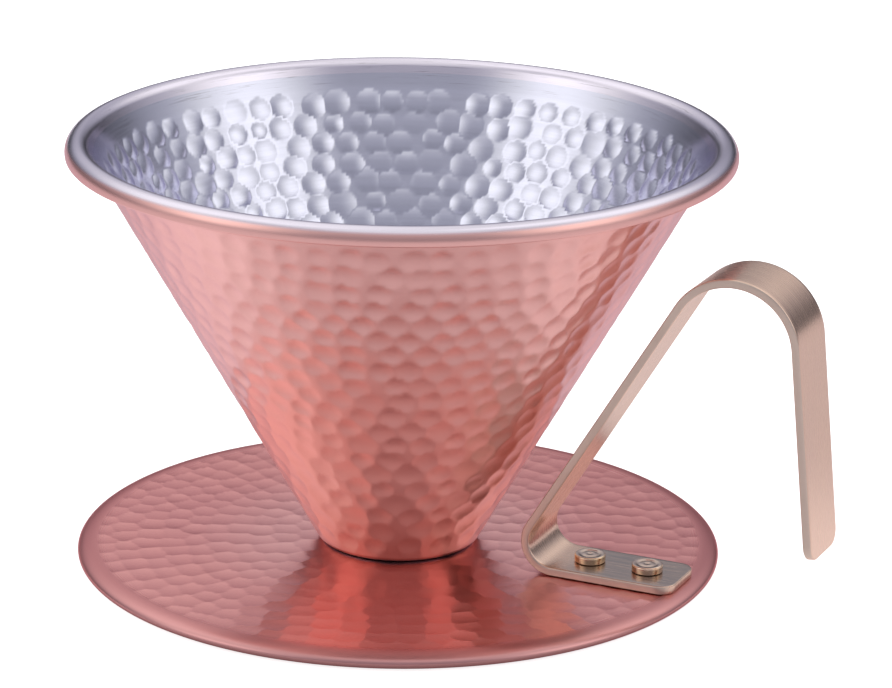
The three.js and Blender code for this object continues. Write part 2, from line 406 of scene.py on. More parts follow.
def wall_heights(profile, marks):
    """Shift and slopes for each profile row of the cone. Both faces carry the same marks, and the
    outer face a softer print of them."""
    angles, shift, slope_a, slope_s = smooth_heights(profile)
    below = (outer_top[0] - profile[:, 0]) * tilt_sin + (outer_top[1] - profile[:, 1]) * tilt_cos
    facing = profile[:, 2] * tilt_cos - profile[:, 3] * tilt_sin
    for sign in (1, -1):
        wall = np.where((facing * sign > 0.5) & (below > 0.4) & (below < WALL_LENGTH + 2.5))[0]
        wall = wall[np.argsort(below[wall])]
        rounds = OUTSIDE_SOFTENING if sign == 1 else 0
        share = OUTSIDE_SHARE if sign == 1 else 1
        fields = marks.field(angles, below[wall], profile[wall, 0], MARK_RIM)
        height, round_slope, down_slope = [softened(field, rounds) * share for field in fields]
        shift[wall] = -sign * height
        slope_a[wall] = -sign * round_slope
        slope_s[wall] = down_slope
    return shift, slope_a, slope_s


cone = turned_shell("cone_shell", cone_profile, TURN_STEPS, wall_heights(cone_profile, cone_marks()))


# ---------------------------------------------------------------- plate

PLATE_STEP = 0.5
UNDERSIDE_STEP = 1.1
HOLE_EDGE_STEP = 0.1
HEM_OUTER_STEPS = 36
HEM_INNER_STEPS = 16
hem_centre = PLATE_RADIUS - HEM_ROLL
hem_half = PLATE_TOP / 2
hem_end = PLATE_RADIUS - HEM_WIDTH


def hem_points(depth, start, end, steps, outward=1):
    """Points and normals on the hem's oval roll, depth inside its outer face."""
    wide = HEM_ROLL - depth
    tall = hem_half - depth
    rows = []
    for i in range(steps + 1):
        a = math.radians(start + (end - start) * i / steps)
        c = math.cos(a)
        s = math.sin(a)
        size = math.hypot(c / wide, s / tall) * outward
        rows.append((hem_centre + wide * c, hem_half + tall * s, c / wide / size, s / tall / size))
    return rows


plate_profile = joined(
    arc_points(hem_end + EDGE_ROUND, EDGE_ROUND, EDGE_ROUND, 180, 270, EDGE_STEP),
    line_points((hem_end + EDGE_ROUND, 0), (hem_centre, 0), (0, -1), FLAT_STEP),
    hem_points(0, -90, 90, HEM_OUTER_STEPS),
    line_points((hem_centre, PLATE_TOP), (PLATE_HOLE + EDGE_ROUND, PLATE_TOP), (0, 1), PLATE_STEP),
    arc_points(PLATE_HOLE + EDGE_ROUND, PLATE_TOP - EDGE_ROUND, EDGE_ROUND, 90, 180, HOLE_EDGE_STEP),
    arc_points(PLATE_HOLE + EDGE_ROUND, PLATE_UNDER + EDGE_ROUND, EDGE_ROUND, 180, 270, HOLE_EDGE_STEP),
    line_points((PLATE_HOLE + EDGE_ROUND, PLATE_UNDER), (hem_centre, PLATE_UNDER), (0, -1), UNDERSIDE_STEP),
    hem_points(PLATE_SHEET, 90, -90, HEM_INNER_STEPS, -1),
    line_points((hem_centre, PLATE_SHEET), (hem_end + EDGE_ROUND, PLATE_SHEET), (0, 1), FLAT_STEP),
    arc_points(hem_end + EDGE_ROUND, PLATE_SHEET - EDGE_ROUND, EDGE_ROUND, 90, 180, EDGE_STEP),
)

PLATE_MARK_RINGS = 10
PLATE_MARK_FIRST = 16.6
PLATE_MARK_RING_PITCH = 3.95
PLATE_MARK_PITCH = 4.7
PLATE_MARK_SIZE = 3.3
PLATE_MARK_DEPTH = 0.11
PLATE_MARK_RIM = 0.014
PLATE_ROUND_JITTER = 0.4
PLATE_RING_JITTER = 0.3
PLATE_SIZE_JITTER = 0.05
PLATE_DEPTH_JITTER = 0.08
PLATE_MARK_TILT = 0.006
PLATE_MARK_SPACING = 4.35
PLATE_MARK_ROUNDS = 12
UNDERSIDE_SHARE = 0.7


def plate_places(a, r):
    """3-D places of (angle, radius) on the plate, with the directions round and out, and the radius."""
    ca = np.cos(a)
    sa = np.sin(a)
    places = np.stack([r * ca, r * sa, 0 * ca], axis=1)
    along = np.stack([-sa, ca, 0 * ca], axis=1)
    out = np.stack([ca, sa, 0 * ca], axis=1)
    return places, along, out, r


def plate_marks():
    angles = []
    dists = []
    for ring in range(PLATE_MARK_RINGS):
        r = PLATE_MARK_FIRST + ring * PLATE_MARK_RING_PITCH
        count = int(round(2 * math.pi * r / PLATE_MARK_PITCH))
        start = rng.uniform(0, 2 * math.pi)
        for i in range(count):
            angles.append(start + 2 * math.pi * i / count + rng.normal(0, PLATE_ROUND_JITTER) / r)
            dists.append(r + rng.normal(0, PLATE_RING_JITTER))
    a = np.array(angles)
    r = np.array(dists)
    first = PLATE_MARK_FIRST - 0.5
    last = PLATE_MARK_FIRST + (PLATE_MARK_RINGS - 1) * PLATE_MARK_RING_PITCH + 0.4
    a, r = spread(plate_places, a, r, first, last, PLATE_MARK_SPACING, PLATE_MARK_ROUNDS)
    count = len(a)
    size = PLATE_MARK_SIZE * (1 + rng.normal(0, PLATE_SIZE_JITTER, count))
    depth = PLATE_MARK_DEPTH * (1 + rng.normal(0, PLATE_DEPTH_JITTER, count))
    tilt = rng.normal(0, PLATE_MARK_TILT, (count, 2))
    return Marks(a, r, size, depth, tilt)


def plate_heights(profile, marks):
    """Shift and slopes for each profile row of the plate. Its underside is a softer print of the top."""
    angles, shift, slope_a, slope_s = smooth_heights(profile)
    flat = np.abs(profile[:, 3]) > 0.999
    inside = (profile[:, 0] > PLATE_HOLE + 0.8) & (profile[:, 0] < hem_centre - 0.2)
    top = np.where(flat & inside & (profile[:, 1] > PLATE_TOP - 0.01))[0]
    under = np.where(flat & inside & (np.abs(profile[:, 1] - PLATE_UNDER) < 0.01))[0]
    for wall, sign, share in ((top, 1, 1), (under, -1, UNDERSIDE_SHARE)):
        wall = wall[np.argsort(profile[wall, 0])]
        r = profile[wall, 0]
        height, round_slope, out_slope = marks.field(angles, r, r, PLATE_MARK_RIM)
        shift[wall] = -sign * height * share
        slope_a[wall] = -sign * round_slope * share
        slope_s[wall] = out_slope * share
    return shift, slope_a, slope_s


plate = turned_shell("plate_disc", plate_profile, TURN_STEPS, plate_heights(plate_profile, plate_marks()))


# ---------------------------------------------------------------- handle strip

def strip_path(step_mm):
    """The strip's middle line as (x, z, normal x, normal z), from the foot's end to the leg's end.
    The normal points to the outside of both bends."""
    half = STRIP_SHEET / 2
    foot_radius = FOOT_BEND + half
    top_radius = TOP_BEND - half
    foot_z = PLATE_TOP + half + foot_radius
    slope = math.radians(STRIP_SLOPE)
    lean = math.radians(LEG_LEAN)
    widening = top_radius - foot_radius
    rise = TOP_BEND_Z - foot_z + widening * math.cos(slope)
    foot_x = TOP_BEND_X - rise / math.tan(slope) - widening * math.sin(slope)
    foot_arc = arc_points(foot_x, foot_z, foot_radius, 270, 90 + STRIP_SLOPE, step_mm)
    top_arc = arc_points(TOP_BEND_X, TOP_BEND_Z, top_radius, 90 + STRIP_SLOPE, LEG_LEAN, step_mm)
    slope_line = line_points(foot_arc[-1][:2], top_arc[0][:2], foot_arc[-1][2:], step_mm)
    foot_line = line_points((FOOT_END, PLATE_TOP + half), foot_arc[0][:2], (0, -1), step_mm)
    leg_x = top_arc[-1][0] + (top_arc[-1][1] - LEG_END_Z) * math.tan(lean)
    leg_end = (leg_x, LEG_END_Z)
    leg_line = line_points(top_arc[-1][:2], leg_end, top_arc[-1][2:], step_mm)
    first = [(FOOT_END, PLATE_TOP + half, 0, -1)]
    last = [(leg_end[0], leg_end[1], top_arc[-1][2], top_arc[-1][3])]
    return np.array(first + foot_line + foot_arc + slope_line + top_arc + leg_line + last)


def path_at(path, along, t):
    """Place and normal of the path at distances t."""
    columns = [np.interp(t, along, path[:, i]) for i in range(4)]
    size = np.hypot(columns[2], columns[3])
    return columns[0], columns[1], columns[2] / size, columns[3] / size


PATH_STEP = 0.25
STRIP_STEP = 0.45
STRIP_COLS = 18
EDGE_RINGS = 4
CORNER_STEPS = 9
DRILL_STEPS = 48
SHARP_ANGLE = 35
FOOT_LENGTH = 21


def half_width(t, length, inset):
    """Half the strip's width at distance t from its end, with its corners rounded, inset all round."""
    corner = STRIP_CORNER - inset
    near = np.minimum(t - inset, length - inset - t)
    gap = np.clip(corner - near, 0, corner)
    return STRIP_WIDTH / 2 - inset - (corner - np.sqrt(np.maximum(corner ** 2 - gap ** 2, 0)))


def strip_mesh():
    """A closed strip: both faces are grids, and rings round the outline make its rounded edges."""
    path = strip_path(PATH_STEP)
    steps = np.hypot(np.diff(path[:, 0]), np.diff(path[:, 1]))
    along = np.concatenate([[0], np.cumsum(steps)])
    length = along[-1]
    inset = STRIP_EDGE
    corner_t = STRIP_CORNER - (STRIP_CORNER - inset) * np.cos(np.linspace(0, math.pi / 2, CORNER_STEPS))
    middle = np.arange(STRIP_CORNER, length - STRIP_CORNER, STRIP_STEP)[1:]
    stations = np.concatenate([corner_t, middle, length - corner_t[::-1]])
    rows = len(stations)
    cols = STRIP_COLS + 1
    half = half_width(stations, length, inset)
    across = np.linspace(-1, 1, cols)
    face_t = np.repeat(stations, cols).reshape(rows, cols)
    face_y = half[:, None] * across[None, :]
    # The outline runs round the face grid, and each point has an outward direction in the strip's plane.
    outline = [(0, c) for c in range(cols - 1)]
    outline += [(r, cols - 1) for r in range(rows - 1)]
    outline += [(rows - 1, c) for c in range(cols - 1, 0, -1)]
    outline += [(r, 0) for r in range(rows - 1, 0, -1)]
    out_t = []
    out_y = []
    corner = STRIP_CORNER
    for r, c in outline:
        t = face_t[r, c]
        y = face_y[r, c]
        centre_t = min(max(t, corner), length - corner)
        centre_y = max(min(y, STRIP_WIDTH / 2 - corner), -(STRIP_WIDTH / 2 - corner))
        dt = t - centre_t
        dy = y - centre_y
        size = math.hypot(dt, dy)
        out_t.append(dt / size)
        out_y.append(dy / size)
    out_t = np.array(out_t)
    out_y = np.array(out_y)
    edge_t = np.array([face_t[r, c] for r, c in outline])
    edge_y = np.array([face_y[r, c] for r, c in outline])
    thick = STRIP_SHEET / 2
    points = []
    uv = []

    def add(t, y, v):
        x, z, nx, nz = path_at(path, along, np.clip(t, 0, length))
        # Straight ends run on past the path, by the small amount that the corner rings need.
        extra = t - np.clip(t, 0, length)
        x = x + extra * -nz
        z = z + extra * nx
        points.append(np.stack([x + nx * v + AXIS_X, y, z + nz * v], axis=1))
        uv.append(np.stack([t, y], axis=1))

    add(face_t.ravel(), face_y.ravel(), thick)
    add(face_t.ravel(), face_y.ravel(), -thick)
    ring_at = []
    total = 2 * rows * cols
    for side in (1, -1):
        order = range(1, EDGE_RINGS + 1) if side == 1 else range(EDGE_RINGS, 0, -1)
        for i in order:
            a = math.pi / 2 * i / EDGE_RINGS
            reach = inset * math.sin(a)
            v = side * (thick - inset + inset * math.cos(a))
            add(edge_t + out_t * reach, edge_y + out_y * reach, v)
            ring_at.append(total)
            total += len(outline)
    faces = []
    for r in range(rows - 1):
        for c in range(cols - 1):
            a = r * cols + c
            faces.append((a, a + cols, a + cols + 1, a + 1))
            b = a + rows * cols
            faces.append((b, b + 1, b + cols + 1, b + cols))
    ring_top = [r * cols + c for r, c in outline]
    ring_bottom = [i + rows * cols for i in ring_top]
    count = len(outline)
    rings = [ring_top] + [[at + i for i in range(count)] for at in ring_at] + [ring_bottom]
    for upper, lower in zip(rings[:-1], rings[1:]):
        for i in range(count):
            j = (i + 1) % count
            faces.append((upper[i], upper[j], lower[j], lower[i]))
    verts = np.concatenate(points) * MM
    return verts, faces, np.concatenate(uv)


def drill_holes(obj, places, radius, low, high):
    """Cuts round holes through obj, and keeps its shading smooth."""
    for x in places:
        step = 2 * math.pi * radius / DRILL_STEPS
        rows = arc_points(0, 0, radius, 0, 360 - 360 / DRILL_STEPS, step)
        count = len(rows)
        verts = [(x * MM + p[0] * MM, p[1] * MM, z * MM) for z in (low, high) for p in rows]
        faces = [tuple(range(count - 1, -1, -1)), tuple(range(count, 2 * count))]
        faces += [(i, (i + 1) % count, (i + 1) % count + count, i + count) for i in range(count)]
        drill = make_object("drill", verts, faces)
        cut = obj.modifiers.new("hole", "BOOLEAN")
        cut.operation = "DIFFERENCE"
        cut.solver = "MANIFOLD"
        cut.object = drill
        graph = bpy.context.evaluated_depsgraph_get()
        mesh = bpy.data.meshes.new_from_object(obj.evaluated_get(graph), depsgraph=graph)
        obj.modifiers.clear()
        obj.data = mesh
        bpy.data.objects.remove(drill)
    obj.data.set_sharp_from_angle(angle=math.radians(SHARP_ANGLE))


strip_verts, strip_faces, strip_uv = strip_mesh()
strip = make_object("handle_strip_bent", strip_verts.tolist(), strip_faces)
layer = strip.data.uv_layers.new(name="strip")
loop_verts = np.zeros(len(strip.data.loops), np.int32)
strip.data.loops.foreach_get("vertex_index", loop_verts)
layer.data.foreach_set("uv", strip_uv[loop_verts].astype(np.float32).ravel())
drill_holes(strip, RIVET_X, RIVET_HOLE, PLATE_TOP - 1, PLATE_TOP + STRIP_SHEET + 1)


# ---------------------------------------------------------------- rivets

RIVET_COLS = 64
RIVET_EDGE = 0.32
RIVET_RING = RIVET_HEAD * 0.62
RIVET_DISH = 0.16
RIVET_STEP = 0.06
RIVET_GAP = 0.06
TAIL_EDGE = 0.25
SEAT_EDGE = 0.12
RIVET_SHARP_ANGLE = 40


def rivet(name, centre_x):
    """A turned rivet: set tail, shank, flat head with a rounded edge, a sunk ring and a raised middle."""
    seat = PLATE_TOP + STRIP_SHEET + RIVET_GAP
    edge = RIVET_EDGE
    ring = RIVET_RING
    dish = RIVET_DISH
    profile = joined(
        [(0.0, RIVET_BOTTOM, 0, -1)],
        arc_points(RIVET_TAIL - TAIL_EDGE, RIVET_BOTTOM + TAIL_EDGE, TAIL_EDGE, -90, 0, EDGE_STEP),
        [(RIVET_TAIL, PLATE_UNDER, 1, 0), (RIVET_SHANK, PLATE_UNDER, 0, 1)],
        [(RIVET_SHANK, seat, 1, 0)],
        [(RIVET_HEAD - 0.2, seat, 0, -1)],
        arc_points(RIVET_HEAD - SEAT_EDGE, seat + 0.14, SEAT_EDGE, -90, 0, RIVET_STEP),
        arc_points(RIVET_HEAD - edge, RIVET_TOP - edge, edge, 0, 90, RIVET_STEP),
        [(ring + 0.2, RIVET_TOP - 0.03, 0, 1), (ring, RIVET_TOP - dish, 0, 1)],
        [(ring - 0.3, RIVET_TOP - dish, 0, 1), (ring - 0.55, RIVET_TOP - 0.05, 0, 1)],
        [(0.5, RIVET_TOP - 0.04, 0, 1), (0.35, RIVET_TOP - 0.12, 0, 1)],
        [(0.0, RIVET_TOP - 0.14, 0, 1)],
    )
    cols = RIVET_COLS
    rows = len(profile)
    verts = []
    index = []
    for i, (r, z, _, _) in enumerate(profile):
        if r < SAME:
            index.append([len(verts)] * cols)
            verts.append((centre_x * MM, 0, z * MM))
            continue
        row = []
        for c in range(cols):
            a = 2 * math.pi * c / cols
            row.append(len(verts))
            verts.append(((centre_x + r * math.cos(a)) * MM, r * math.sin(a) * MM, z * MM))
        index.append(row)
    faces = []
    for r in range(rows - 1):
        for c in range(cols):
            d = (c + 1) % cols
            quad = (index[r][c], index[r][d], index[r + 1][d], index[r + 1][c])
            faces.append(tuple(dict.fromkeys(quad)))
    return make_object(name, verts, faces, smooth_angle=RIVET_SHARP_ANGLE)


rivets = [rivet("rivet_head_inner", RIVET_X[0]), rivet("rivet_head_outer", RIVET_X[1])]
drill_holes(plate, RIVET_X, RIVET_HOLE, PLATE_UNDER - 1, PLATE_TOP + 1)


# ---------------------------------------------------------------- materials

class Nodes:
    """Short ways to build a node tree."""

    def __init__(self, tree):
        self.tree = tree
        tree.nodes.clear()

    def add(self, kind, inputs=None, **settings):
        node = self.tree.nodes.new(kind)
        for key, value in settings.items():
            setattr(node, key, value)
        for key, value in (inputs or {}).items():
            self.set(node.inputs[key], value)
        return node

    def set(self, socket, value):
        if isinstance(value, bpy.types.NodeSocket):
            self.tree.links.new(value, socket)
        else:
            socket.default_value = value

    def math(self, operation, a, b=0.0):
        return self.add("ShaderNodeMath", {0: a, 1: b}, operation=operation).outputs[0]

    def times(self, *values):
        """The product of two or more values."""
        product = values[0]
        for value in values[1:]:
            product = self.math("MULTIPLY", product, value)
        return product

    def vector(self, operation, a, b=(0, 0, 0)):
        node = self.add("ShaderNodeVectorMath", {0: a, 1: b}, operation=operation)
        return node.outputs["Value" if operation in ("LENGTH", "DOT_PRODUCT") else "Vector"]

    def smooth(self, value, low, high, to_low=0.0, to_high=1.0):
        inputs = {"Value": value, "From Min": low, "From Max": high, "To Min": to_low, "To Max": to_high}
        return self.add("ShaderNodeMapRange", inputs, interpolation_type="SMOOTHSTEP").outputs[0]

    def linear(self, value, low, high, to_low=0.0, to_high=1.0):
        inputs = {"Value": value, "From Min": low, "From Max": high, "To Min": to_low, "To Max": to_high}
        return self.add("ShaderNodeMapRange", inputs).outputs[0]

    def ease(self, value, low, high, to_low=0.0, to_high=1.0):
        """smooth with low and high in degrees, for angles."""
        return self.smooth(value, math.radians(low), math.radians(high), to_low, to_high)

    def split(self, vector):
        return self.add("ShaderNodeSeparateXYZ", {0: vector}).outputs

    def place(self):
        return self.add("ShaderNodeTexCoord").outputs["Object"]

    def facing(self):
        """The surface's direction, as x, y and z."""
        return self.split(self.add("ShaderNodeNewGeometry").outputs["Normal"])

    def seen(self):
        """1 for the camera's own rays, 0 for reflected ones."""
        return self.add("ShaderNodeLightPath").outputs["Is Camera Ray"]

    def blend(self, share, a, b):
        """mix for plain values."""
        return self.add("ShaderNodeMix", {"Factor": share, "A": a, "B": b}, data_type="FLOAT").outputs[0]

    def combine(self, x, y, z):
        return self.add("ShaderNodeCombineXYZ", {"X": x, "Y": y, "Z": z}).outputs[0]

    def noise(self, vector, scale, detail=2.0, roughness=0.5):
        inputs = {"Vector": vector, "Scale": scale, "Detail": detail, "Roughness": roughness}
        return self.add("ShaderNodeTexNoise", inputs).outputs["Fac"]

    def mix(self, share, a, b):
        node = self.add("ShaderNodeMix", data_type="RGBA")
        self.set(node.inputs["Factor"], share)
        self.set(node.inputs["A"], a)
        self.set(node.inputs["B"], b)
        return node.outputs["Result"]


def new_material(name):
    material = bpy.data.materials.new(name)
    material.use_nodes = True
    return material, Nodes(material.node_tree)


def metal(n, colour, edge, roughness, stretch, normal, tangent=None):
    inputs = {
        "Base Color": colour,
        "Metallic": 1.0,
        "Roughness": roughness,
        "Specular Tint": edge,
        "Anisotropic": stretch,
        "Normal": normal,
    }
    shader = n.add("ShaderNodeBsdfPrincipled", inputs)
    if tangent is not None:
        shader.inputs["Anisotropic Rotation"].default_value = QUARTER_TURN
        n.set(shader.inputs["Tangent"], tangent)
    n.add("ShaderNodeOutputMaterial", {"Surface": shader.outputs[0]})


def turned_coordinates(n):
    """Where a point is: x and y on a unit circle round the axis, then radius and height in millimetres."""
    split = n.split(n.vector("SUBTRACT", n.place(), (AXIS_X * MM, 0, 0)))
    flat = n.combine(split[0], split[1], 0.0)
    radius = n.math("DIVIDE", n.vector("LENGTH", flat), MM)
    height = n.math("DIVIDE", split[2], MM)
    unit = n.add("ShaderNodeVectorMath", {0: flat}, operation="NORMALIZE").outputs[0]
    ring = n.split(unit)
    return ring[0], ring[1], radius, height


def brushed_round(n, ring_x, ring_y, across, length_scale, line_scale, detail=3.0, roughness=0.6):
    """Fine lines that run round the axis. across is the distance over the lines, in millimetres."""
    x = n.times(ring_x, length_scale)
    y = n.times(ring_y, length_scale)
    return n.noise(n.combine(x, y, n.times(across, line_scale)), 1.0, detail, roughness)


# The colours named EDGE are those of the metal seen at a grazing angle.
COPPER = (0.91, 0.52, 0.475, 1)
COPPER_PATCH = (0.88, 0.50, 0.46, 1)
COPPER_LINE = (0.95, 0.58, 0.52, 1)
# Painted reflection: darker, redder copper near the cone's foot stands in for the plate's reflection.
COPPER_FOOT_REFLECTION = (0.82, 0.36, 0.31, 1)
COPPER_EDGE = (0.86, 0.76, 0.84, 1)
SECOND_COPPER = (1.0, 1.17, 1.17)
PLATE_COPPER = (0.93, 0.50, 0.46, 1)
PLATE_PATCH = (0.89, 0.48, 0.45, 1)
PLATE_LINE = (0.96, 0.53, 0.48, 1)
PLATE_MIDDLE = (0.92, 0.57, 0.53, 1)
PLATE_EDGE = (0.90, 0.50, 0.54, 1)
# Painted shade on the hem's roll.
HEM_SHADED_COPPER = (0.68, 0.34, 0.33, 1)
TIN = (0.70, 0.70, 0.81, 1)
TIN_PATCH = (0.66, 0.66, 0.76, 1)
TIN_SCRATCH = (0.33, 0.31, 0.34, 1)
LIP_TIN = (0.76, 0.71, 0.80, 1)
BAND_TIN = (0.64, 0.64, 0.74, 1)
TIN_EDGE = (0.95, 0.93, 0.98, 1)
BRASS = (0.80, 0.56, 0.44, 1)
BRASS_PATCH = (0.77, 0.54, 0.44, 1)
BRASS_LINE = (0.88, 0.68, 0.53, 1)
BRASS_SIDE = (0.70, 0.58, 0.49, 1)
# Painted dark reflection on the handle foot's top.
BRASS_DARK_REFLECTION = (0.34, 0.30, 0.29, 1)
BRASS_EDGE = (0.95, 0.92, 0.90, 1)
RIVET_BRASS = (0.90, 0.66, 0.50, 1)
RIVET_PATCH = (0.84, 0.62, 0.40, 1)
RIVET_TOP_DARK = (0.52, 0.42, 0.38, 1)

# Noise stays near 0.5, so these ends stretch it over the whole range.
LOW = 0.3
HIGH = 0.7
PATCH_LOW = 0.35
CONE_ROUGH = 0.31
TIN_ROUGH = 0.2
PLATE_ROUGH = 0.24
HEM_ROUGH = 0.1
STRIP_ROUGH = 0.27
FOOT_ROUGH = 0.2
SIDE_ROUGH = 0.14
RIVET_ROUGH = 0.2
SCRATCH_SHARE = 0.55
# The highlights are stretched across the brushed lines, which run round.
CONE_STRETCH = 0.45
PLATE_STRETCH = 0.3
STRIP_STRETCH = 0.5
QUARTER_TURN = 0.25
# Bumps are metres, where colours change is millimetres, and the lip's angles are degrees.
BUMP = 0.00002
RIVET_BUMP = 0.00004
FOOT_REFLECTION_LOW = 4
FOOT_REFLECTION_HIGH = 22
MIDDLE_TONE_FULL = 18
MIDDLE_TONE_END = 40
BAND_LOW = inner_top[1] - (MARK_TOP - 2) * tilt_cos
LIP_TIN_START = 30
LIP_TIN_FULL = 50


def kept_pale(n, copper):
    """Copper that is seen by way of other metal, kept from going too red."""
    return n.mix(n.seen(), n.vector("MULTIPLY", copper, SECOND_COPPER), copper)


def cone_material():
    material, n = new_material("hammered_copper_tinned")
    ring_x, ring_y, radius, height = turned_coordinates(n)
    # Inside or outside: the wall's inner face lies nearer the axis than its middle.
    wall_slope = tilt_sin / tilt_cos
    wall_middle = inner_top[0] + 0.5 * SHEET / tilt_cos - inner_top[1] * wall_slope
    middle = n.math("ADD", n.times(height, wall_slope), wall_middle)
    inside = n.smooth(n.math("SUBTRACT", middle, radius), -0.05, 0.05)
    # The tin runs over the lip and down to the angle where it meets the copper.
    lip_r = n.math("SUBTRACT", radius, LIP_CENTRE_R)
    lip_z = n.math("SUBTRACT", height, LIP_CENTRE_Z)
    lip_angle = n.math("ARCTAN2", lip_z, lip_r)
    lip_far = n.math("SQRT", n.math("ADD", n.math("POWER", lip_r, 2.0), n.math("POWER", lip_z, 2.0)))
    lip_tin = n.ease(lip_angle, LIP_TIN_START, LIP_TIN_FULL)
    lip_tin = n.times(lip_tin, n.math("GREATER_THAN", lip_far, LIP_INSIDE + 0.4))
    lip_tin = n.times(lip_tin, n.math("LESS_THAN", lip_far, LIP_RADIUS + 0.3))
    tin = n.math("MAXIMUM", inside, lip_tin)
    across = n.times(height, 1 / tilt_cos)
    lines = brushed_round(n, ring_x, ring_y, across, 2.2, 5.0)
    bands = brushed_round(n, ring_x, ring_y, across, 1.2, 0.9)
    patches = n.noise(n.place(), 45.0, 3.0)
    copper = n.mix(n.smooth(patches, PATCH_LOW, HIGH), COPPER, COPPER_PATCH)
    copper = n.mix(n.linear(lines, LOW, HIGH, 0.0, 0.06), copper, COPPER_LINE)
    # Painted reflection of the plate: the copper turns darker and redder towards the foot.
    copper = n.mix(n.smooth(height, FOOT_REFLECTION_LOW, FOOT_REFLECTION_HIGH, 1.0, 0.0), copper, COPPER_FOOT_REFLECTION)
    copper = kept_pale(n, copper)
    silver = n.mix(n.smooth(bands, LOW, HIGH), TIN, TIN_PATCH)
    silver = n.mix(lip_tin, silver, LIP_TIN)
    # The smooth band above the marks is greyer, and scratches run round it.
    band = n.smooth(height, BAND_LOW, BAND_LOW + 2.5)
    silver = n.mix(n.times(band, n.math("SUBTRACT", 1.0, lip_tin)), silver, BAND_TIN)
    scratches = brushed_round(n, ring_x, ring_y, across, 5.0, 3.2, 4.0, 0.7)
    scratches = n.times(n.smooth(scratches, 0.56, 0.7), band, inside)
    silver = n.mix(n.times(scratches, SCRATCH_SHARE), silver, TIN_SCRATCH)
    rough = n.blend(tin, CONE_ROUGH, TIN_ROUGH)
    line_share = n.linear(tin, 0.0, 1.0, 0.012, 0.04)
    rough = n.math("ADD", rough, n.times(n.linear(lines, LOW, HIGH, -1.0, 1.0), line_share))
    rough = n.math("ADD", rough, n.linear(patches, LOW, HIGH, -0.02, 0.03))
    bump = n.add("ShaderNodeBump", {"Strength": 0.01, "Distance": BUMP, "Height": lines})
    tangent = n.add("ShaderNodeTangent", direction_type="RADIAL", axis="Z").outputs[0]
    edge = n.mix(tin, COPPER_EDGE, TIN_EDGE)
    metal(n, n.mix(tin, copper, silver), edge, rough, CONE_STRETCH, bump.outputs[0], tangent)
    return material


def plate_material():
    material, n = new_material("hammered_copper_plate")
    ring_x, ring_y, radius, height = turned_coordinates(n)
    lines = brushed_round(n, ring_x, ring_y, n.math("ADD", radius, height), 2.0, 4.0)
    patches = n.noise(n.place(), 50.0, 3.0)
    copper = n.mix(n.smooth(patches, PATCH_LOW, HIGH), PLATE_COPPER, PLATE_PATCH)
    copper = n.mix(n.linear(lines, LOW, HIGH, 0.0, 0.25), copper, PLATE_LINE)
    copper = n.mix(n.smooth(radius, MIDDLE_TONE_FULL, MIDDLE_TONE_END, 1.0, 0.0), copper, PLATE_MIDDLE)
    # The hem's darker copper is painted shade round the roll, and the hem is less polished.
    hem = n.smooth(radius, PLATE_RADIUS - HEM_WIDTH, PLATE_RADIUS - 0.4 * HEM_WIDTH)
    copper = kept_pale(n, n.mix(hem, copper, HEM_SHADED_COPPER))
    rough = n.math("ADD", PLATE_ROUGH, n.linear(lines, LOW, HIGH, -0.03, 0.03))
    rough = n.math("ADD", rough, n.times(hem, HEM_ROUGH))
    bump = n.add("ShaderNodeBump", {"Strength": 0.03, "Distance": BUMP, "Height": lines})
    tangent = n.add("ShaderNodeTangent", direction_type="RADIAL", axis="Z").outputs[0]
    metal(n, copper, PLATE_EDGE, rough, PLATE_STRETCH, bump.outputs[0], tangent)
    return material


def strip_material():
    material, n = new_material("satin_brass_strip")
    split = n.split(n.add("ShaderNodeUVMap", uv_map="strip").outputs[0])
    grain = n.combine(n.times(split[0], 0.12), n.times(split[1], 4.0), 0.0)
    lines = n.noise(grain, 1.0, 4.0, 0.65)
    patches = n.noise(n.place(), 60.0, 3.0)
    colour = n.mix(n.smooth(patches, PATCH_LOW, HIGH), BRASS, BRASS_PATCH)
    colour = n.mix(n.linear(lines, LOW, HIGH, 0.0, 0.4), colour, BRASS_LINE)
    # The sides are cut edges: paler and less polished.
    normal = n.facing()
    side = n.smooth(n.math("ABSOLUTE", normal[1]), 0.5, 0.9)
    colour = n.mix(side, colour, BRASS_SIDE)
    # The foot's top is painted darker and greyer between the brushed lines: a painted reflection of dark
    # surroundings.
    on_foot = n.smooth(split[0], FOOT_LENGTH - 5, FOOT_LENGTH + 1, 1.0, 0.0)
    foot_reflection = n.times(on_foot, n.smooth(normal[2], 0.8, 0.97), n.linear(lines, 0.4, 0.65, 1.0, 0.5))
    colour = n.mix(foot_reflection, colour, BRASS_DARK_REFLECTION)
    rough = n.linear(foot_reflection, 0.0, 1.0, STRIP_ROUGH, FOOT_ROUGH)
    rough = n.math("ADD", rough, n.linear(lines, LOW, HIGH, -0.05, 0.05))
    rough = n.math("ADD", rough, n.times(side, SIDE_ROUGH))
    bump = n.add("ShaderNodeBump", {"Strength": 0.5, "Distance": BUMP, "Height": lines})
    tangent = n.add("ShaderNodeTangent", direction_type="UV_MAP", uv_map="strip").outputs[0]
    metal(n, colour, BRASS_EDGE, rough, STRIP_STRETCH, bump.outputs[0], tangent)
    return material


